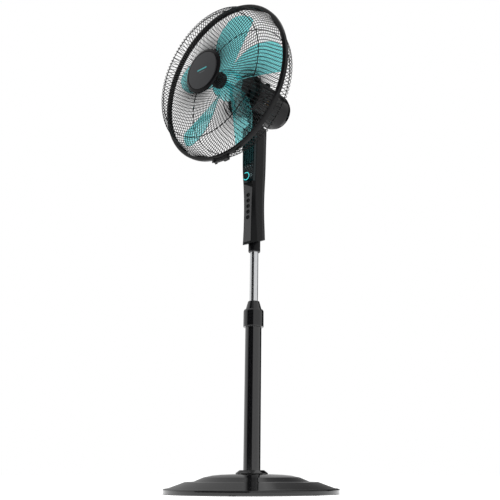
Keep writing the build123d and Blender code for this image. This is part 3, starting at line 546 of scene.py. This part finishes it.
def blade_mesh(phase):
    nu, nv = 46, 22
    top, bot = [], []
    r0 = 37.0
    for i in range(nu + 1):
        s = i / nu
        s = 1 - (1 - s) ** 1.35
        r = r0 + (BLADE_R - 0.2 - r0) * s
        u = max(0.0, (r - 45.0) / (BLADE_R - 45.0))
        rnd = math.sqrt(max(0.0, 1 - (max(0.0, u - 0.9) / 0.1) ** 2.5))
        lo = -(PL0 + PL1 * u + PL2 * u * u) * rnd
        hi = (PT0 + PT1 * u + PT2 * u * u) * rnd
        rt, rb = [], []
        for j in range(nv + 1):
            w = j / nv
            w = 0.5 - 0.5 * math.cos(math.pi * w)
            a = math.radians(lo + (hi - lo) * w)
            f = MID_F + max(r, 42) * a * pitch(r)
            # rounded edge: the sheet thins towards its outline
            e = min(w, 1 - w) * (hi - lo) * math.radians(1) * r
            e = min(e, (BLADE_R - r))
            h = 0.98 * math.sqrt(max(0.0, 1 - (1 - min(1.0, e / 1.0)) ** 2))
            q = math.radians(phase) + a
            x, y = r * math.cos(q), r * math.sin(q)
            rt.append(head((x, y, f + h)))
            rb.append(head((x, y, f - h)))
        top.append(rt)
        bot.append(rb)
    verts = [p for row in top for p in row] + [p for row in bot for p in row]
    k = nv + 1
    o = (nu + 1) * k
    faces = []
    for i in range(nu):
        for j in range(nv):
            faces.append([i * k + j, i * k + j + 1, (i + 1) * k + j + 1, (i + 1) * k + j])
            faces.append([o + i * k + j, o + (i + 1) * k + j, o + (i + 1) * k + j + 1, o + i * k + j + 1])
    for i in range(nu):
        faces.append([i * k, (i + 1) * k, o + (i + 1) * k, o + i * k])
        faces.append([i * k + nv, o + i * k + nv, o + (i + 1) * k + nv, (i + 1) * k + nv])
    for j in range(nv):
        faces.append([j, o + j, o + j + 1, j + 1])
        faces.append([nu * k + j, nu * k + j + 1, o + nu * k + j + 1, o + nu * k + j])
    return verts, faces


hub = rounded([(4.05, 100.0), (9.0, 100.0, 0.6), (9.0, 134.4, 1.5), (36.0, 131.5, 3.0), (39.8, 102.0, 0.5), (42.2, 102.0, 0.5), (38.6, 134.4, 4.5), (12.0, 137.6, 1.0), (4.05, 137.6)], 8)
fan = join(lathe(hub, 144, head), *[blade_mesh(PHASE - 72 * k) for k in range(5)])
finish_mesh("fan_blade_set", *fan, M["teal_clear"], "rotor", "teal_clear", ["fan_blades"], sharp=50)


def spin_ribs(r, z, a):
    if r > 20.5 and 139.5 < z < 152.0:
        d = (a % 20) - 10
        return r - 1.1 * max(0.0, 1 - ((10 - abs(d)) / 3.2) ** 2)
    return r


spin = rounded([(0, 153.6), (4.05, 153.6), (4.05, 138.0), (12, 138.0), (21.5, 138.0, 0.8), (22.6, 140.4), (22.5, 142.0), (22.0, 149.5), (21.6, 151.6, 1.6), (12.0, 155.6, 2.0), (0, 156.4)], 6)
finish_mesh("spinner_cap", *lathe(spin, 216, head, radius_fn=spin_ribs), M["black_plastic"], "rotor", "black_plastic", ["spinner_nut"])

# ------------------------------------------------------------------ display marks
def glass_y(node, x, z):
    """depth of a node's front face at x, z, in mm"""
    hit, at, _, _ = nodes[node].ray_cast(Vector((x * MM, -0.2, z * MM)), Vector((0, 1, 0)))
    return at.y / MM if hit else None


def arc_strip(name, cx, cz, r, w, a0, a1, mat, node="display_window", body="column", h=0.3):
    """a flat ring or part of one, lying on the glass"""
    n = max(12, int(abs(a1 - a0) / 4))
    verts, faces = [], []
    last = glass_y(node, cx, cz)
    for i in range(n + 1):
        a = math.radians(a0 + (a1 - a0) * i / n)
        for rr in (r - w / 2, r + w / 2):
            x, z = cx + rr * math.cos(a), cz + rr * math.sin(a)
            y = glass_y(node, x, z)
            last = y if y is not None else last
            verts.append((x, last - h, z))
            verts.append((x, last + 0.1, z))
    for i in range(n):
        b, c = i * 4, (i + 1) * 4
        faces += [[b, b + 2, c + 2, c], [b + 1, c + 1, c + 3, b + 3], [b, c, c + 1, b + 1], [b + 2, b + 3, c + 3, c + 2]]
    faces += [[0, 1, 3, 2], [n * 4, n * 4 + 2, n * 4 + 3, n * 4 + 1]]
    return finish_mesh(name, verts, faces, mat, body, None)


arc_strip("display_ring", -6.5, 804.0, 10.2, 2.0, -150, 118, M["ring_teal"])
arc_strip("display_ring_small", 10.5, 803.0, 3.6, 0.9, 0, 359.9, M["ring_dim"])
for k, (x, z) in enumerate([(-9, 830), (0, 830), (9, 830)]):
    arc_strip("display_dot_%d" % (k + 1), x, z, 0.55, 1.0, 0, 359.9, M["ring_dim"])



def lip(name, node, x0, x1, z_top, zl, zr, mat, n=14, m=6, h=0.35):
    """thin glass foot of the display, following the panel, with a slanted lower edge"""
    top, bot, seen = [], [], None
    for i in range(n + 1):
        x = x0 + (x1 - x0) * i / n
        zb = zl + (zr - zl) * i / n
        for j in range(m + 1):
            z = zb + (z_top - zb) * j / m
            y = glass_y(node, x, z)
            seen = y if y is not None else seen
            top.append((x, seen - h, z))
            bot.append((x, seen + 0.05, z))
    o, k = len(top), m + 1
    faces = []
    for i in range(n):
        for j in range(m):
            a = i * k + j
            faces += [[a, a + 1, a + k + 1, a + k], [o + a, o + a + k, o + a + k + 1, o + a + 1]]
        faces += [[i * k, (i + 1) * k, o + (i + 1) * k, o + i * k], [i * k + m, o + i * k + m, o + (i + 1) * k + m, (i + 1) * k + m]]
    for j in range(m):
        faces += [[j, o + j, o + j + 1, j + 1], [n * k + j, n * k + j + 1, o + n * k + j + 1, o + n * k + j]]
    return finish_mesh(name, top + bot, faces, mat, "column", None)


lip("display_foot", "lower_panel", -14.6, 14.6, 784.6, 783.0, 767.0, M["foot_glass"])

# round keys with a dished face
for k, z in enumerate((748.5, 732.8, 717.1, 701.4, 685.7)):
    lo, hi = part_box("button_%d" % (k + 1))
    y0 = -lo.y / MM
    pts = rounded([(0, y0 - 6.0), (4.9, y0 - 6.0), (5.35, y0 - 5.0), (5.35, y0 - 0.5, 0.5), (4.5, y0, 0.35), (3.7, y0 - 0.15, 0.3), (2.2, y0 - 0.75, 1.2), (0, y0 - 0.95)], 5)
    v, f = lathe(pts, 48, lambda p, z=z: (p[0], -p[2], z + p[1]))
    finish_mesh("key_%d" % (k + 1), v, f, M["button_grey"], "button_%d" % (k + 1), "button_grey", ["button_%d" % (k + 1)])

# ------------------------------------------------------------------ floor, light, world
fl = bpy.data.meshes.new("floor")
fl.from_pydata([(-14, -14, 0), (14, -14, 0), (14, 14, 0), (-14, 14, 0)], [], [[0, 1, 2, 3]])
floor = bpy.data.objects.new("floor", fl)
scene.collection.objects.link(floor)
fm = bpy.data.materials.new("floor_white")
fm.use_nodes = True
fb = fm.node_tree.nodes["Principled BSDF"]
fb.inputs["Base Color"].default_value = (0.93, 0.93, 0.93, 1)
fb.inputs["Roughness"].default_value = 0.6
fb.inputs["Specular IOR Level"].default_value = 0.0
fb.inputs["Emission Color"].default_value = (1, 1, 1, 1)
fb.inputs["Emission Strength"].default_value = 0.22
fl.materials.append(fm)

w = bpy.data.worlds.new("studio")
scene.world = w
w.use_nodes = True
nt = w.node_tree
nt.nodes.clear()
out = nt.nodes.new("ShaderNodeOutputWorld")
tc = nt.nodes.new("ShaderNodeTexCoord")
sep = nt.nodes.new("ShaderNodeSeparateXYZ")
nt.links.new(tc.outputs["Generated"], sep.inputs[0])
at = nt.nodes.new("ShaderNodeMath"); at.operation = "ARCTAN2"
nt.links.new(sep.outputs["Y"], at.inputs[0]); nt.links.new(sep.outputs["X"], at.inputs[1])


def flag(center, half, soft=3.0):
    """1 inside an azimuth sector, 0 outside, with a slightly soft edge"""
    d = nt.nodes.new("ShaderNodeMath"); d.operation = "SUBTRACT"; d.inputs[1].default_value = math.radians(center)
    nt.links.new(at.outputs[0], d.inputs[0])
    c = nt.nodes.new("ShaderNodeMath"); c.operation = "COSINE"
    nt.links.new(d.outputs[0], c.inputs[0])
    r = nt.nodes.new("ShaderNodeMapRange")
    r.inputs["From Min"].default_value = math.cos(math.radians(half + soft / 2))
    r.inputs["From Max"].default_value = math.cos(math.radians(half - soft / 2))
    nt.links.new(c.outputs[0], r.inputs["Value"])
    return r.outputs[0]


f1, f2 = flag(-87, 37), flag(95.5, 31.5)
mx = nt.nodes.new("ShaderNodeMath"); mx.operation = "MAXIMUM"
nt.links.new(f1, mx.inputs[0]); nt.links.new(f2, mx.inputs[1])
el = nt.nodes.new("ShaderNodeMapRange")
el.inputs["From Min"].default_value = 0.72
el.inputs["From Max"].default_value = 0.80
el.inputs["To Min"].default_value = 1.0
el.inputs["To Max"].default_value = 0.0
nt.links.new(sep.outputs["Z"], el.inputs["Value"])
dark = nt.nodes.new("ShaderNodeMath"); dark.operation = "MULTIPLY"
nt.links.new(mx.outputs[0], dark.inputs[0]); nt.links.new(el.outputs[0], dark.inputs[1])
gl = nt.nodes.new("ShaderNodeMix"); gl.data_type = "RGBA"
gl.inputs[6].default_value = (1.0, 1.0, 1.0, 1)
gl.inputs[7].default_value = (0.012, 0.012, 0.013, 1)
nt.links.new(dark.outputs[0], gl.inputs[0])
back = flag(146, 21, 16)
bk = nt.nodes.new("ShaderNodeMix"); bk.data_type = "RGBA"
bk.inputs[7].default_value = (0.3, 0.3, 0.3, 1)
nt.links.new(back, bk.inputs[0])
nt.links.new(gl.outputs[2], bk.inputs[6])
lp = nt.nodes.new("ShaderNodeLightPath")
# glossy rays see the softboxes and flags, everything else plain white
fin = nt.nodes.new("ShaderNodeMix"); fin.data_type = "RGBA"
fin.inputs[6].default_value = (1, 1, 1, 1)
only = nt.nodes.new("ShaderNodeMath"); only.operation = "SUBTRACT"; only.use_clamp = True
nt.links.new(lp.outputs["Is Glossy Ray"], only.inputs[0]); nt.links.new(lp.outputs["Is Transmission Ray"], only.inputs[1])
nt.links.new(only.outputs[0], fin.inputs[0])
nt.links.new(bk.outputs[2], fin.inputs[7])
bg = nt.nodes.new("ShaderNodeBackground")
bg.inputs["Strength"].default_value = 1.0
nt.links.new(fin.outputs[2], bg.inputs["Color"])
nt.links.new(bg.outputs[0], out.inputs["Surface"])


def area(name, loc, target, size, power, col=(1, 1, 1)):
    d = bpy.data.lights.new(name, "AREA")
    d.shape = "RECTANGLE"
    d.size, d.size_y = size
    d.energy = power
    d.color = col
    o = bpy.data.objects.new(name, d)
    scene.collection.objects.link(o)
    o.location = loc
    o.rotation_euler = (Vector(target) - Vector(loc)).to_track_quat("-Z", "Y").to_euler()
    o.visible_camera = False
    o.visible_glossy = False
    o.visible_transmission = False
    return o


area("softbox_right", (2.6, -0.6, 2.0), (0, 0, 0.8), (1.2, 2.0), 60)
area("softbox_left", (-2.6, -0.9, 1.7), (0, 0, 0.8), (1.0, 2.0), 30)
